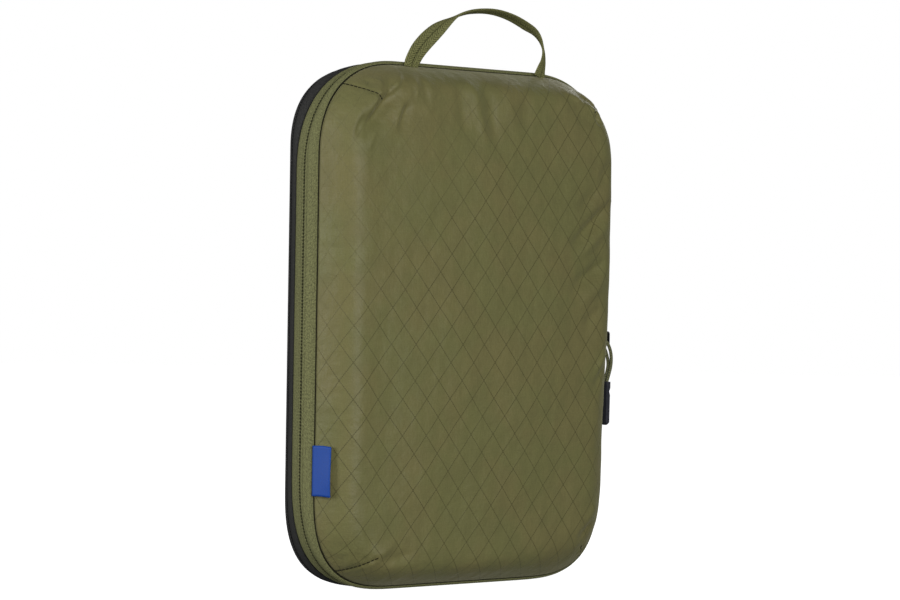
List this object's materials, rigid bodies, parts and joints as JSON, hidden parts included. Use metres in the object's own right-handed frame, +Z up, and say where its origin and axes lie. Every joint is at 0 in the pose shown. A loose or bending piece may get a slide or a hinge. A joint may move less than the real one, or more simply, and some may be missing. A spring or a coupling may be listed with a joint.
{
  "type": "compression packing cube",
  "caption": "Upright soft packing cube with a zipped rear lid, a zipped expansion fold that compresses it, a webbing handle and corded zipper pulls.",
  "frame": {"origin": "on the surface that the cube stands on, at the middle of its width, under the rear half of the compression zipper", "axes": "+Z up, -Y out of the front panel, +Y out of the rear lid, +X towards the lid's hinge side"},
  "size_m": [0.2759, 0.085, 0.3955],
  "materials": {
    "ripstop": "thin coated ripstop nylon, soft sheen",
    "binding": "woven seam binding, matt",
    "olive_tape": "woven polyester zipper tape, matt",
    "black_tape": "woven polyester zipper tape, matt",
    "coil": "nylon coil",
    "label": "woven satin label, plain",
    "webbing": "woven nylon webbing",
    "black_plastic": "moulded acetal",
    "black_metal": "painted zinc, satin",
    "olive_cord": "braided cord",
    "grey_plastic": "soft moulded plastic",
    "black_cloth": "thin coated ripstop nylon, black"
  },
  "bodies": {
    "middle_ring": {"compression_tape_rear": "olive_tape", "compression_coil_rear": "coil", "expansion_gusset": "ripstop", "middle_seam_binding": "binding", "compression_zip_garage": "olive_tape", "compression_end_clip": "black_plastic", "main_tape_front": "black_tape", "main_coil_front": "coil", "hinge_strip": "black_tape"},
    "front_half": {"front_panel": "ripstop", "front_seam_binding": "binding", "compression_tape_front": "olive_tape", "compression_coil_front": "coil", "side_label": "label"},
    "carry_handle": {"handle": "webbing"},
    "rear_lid": {"main_tape_rear": "black_tape", "main_coil_rear": "coil", "rear_seam_binding": "binding", "rear_panel": "black_cloth"},
    "compression_slider_body": {"compression_slider": "black_metal"},
    "compression_pull": {"compression_pull_cord": "olive_cord", "compression_pull_tip": "grey_plastic"},
    "main_slider_body": {"main_slider": "black_metal"},
    "main_pull": {"main_pull_cord": "olive_cord", "main_pull_tip": "grey_plastic"}
  },
  "joints": [
    {"name": "compression_expand", "type": "slide", "parent": "middle_ring", "child": "front_half", "axis": [0, -1, 0], "range_m": [0, 0.045], "deforming": ["expansion_gusset"]},
    {"name": "handle_hinge", "type": "hinge", "parent": "front_half", "child": "carry_handle", "pos_m": [0, -0.0155, 0.352], "axis": [1, 0, 0], "range_deg": [-45, 75]},
    {"name": "rear_lid_hinge", "type": "hinge", "parent": "middle_ring", "child": "rear_lid", "pos_m": [0.1325, 0.014, 0.172], "axis": [0, 0, -1], "range_deg": [0, 105]},
    {"name": "compression_zip", "type": "slide", "parent": "middle_ring", "child": "compression_slider_body", "axis": [0, 0, -1], "range_m": [0, 0.08]},
    {"name": "compression_pull_hinge", "type": "hinge", "parent": "compression_slider_body", "child": "compression_pull", "pos_m": [0.13695, -0.0053, 0.1665], "axis": [0, -1, 0], "range_deg": [0, 150]},
    {"name": "main_zip", "type": "slide", "parent": "middle_ring", "child": "main_slider_body", "axis": [0, 0, 1], "range_m": [0, 0.028]},
    {"name": "main_pull_hinge", "type": "hinge", "parent": "main_slider_body", "child": "main_pull", "pos_m": [0.13345, 0.014, 0.2442], "axis": [0, -1, 0], "range_deg": [0, 150]}
  ]
}
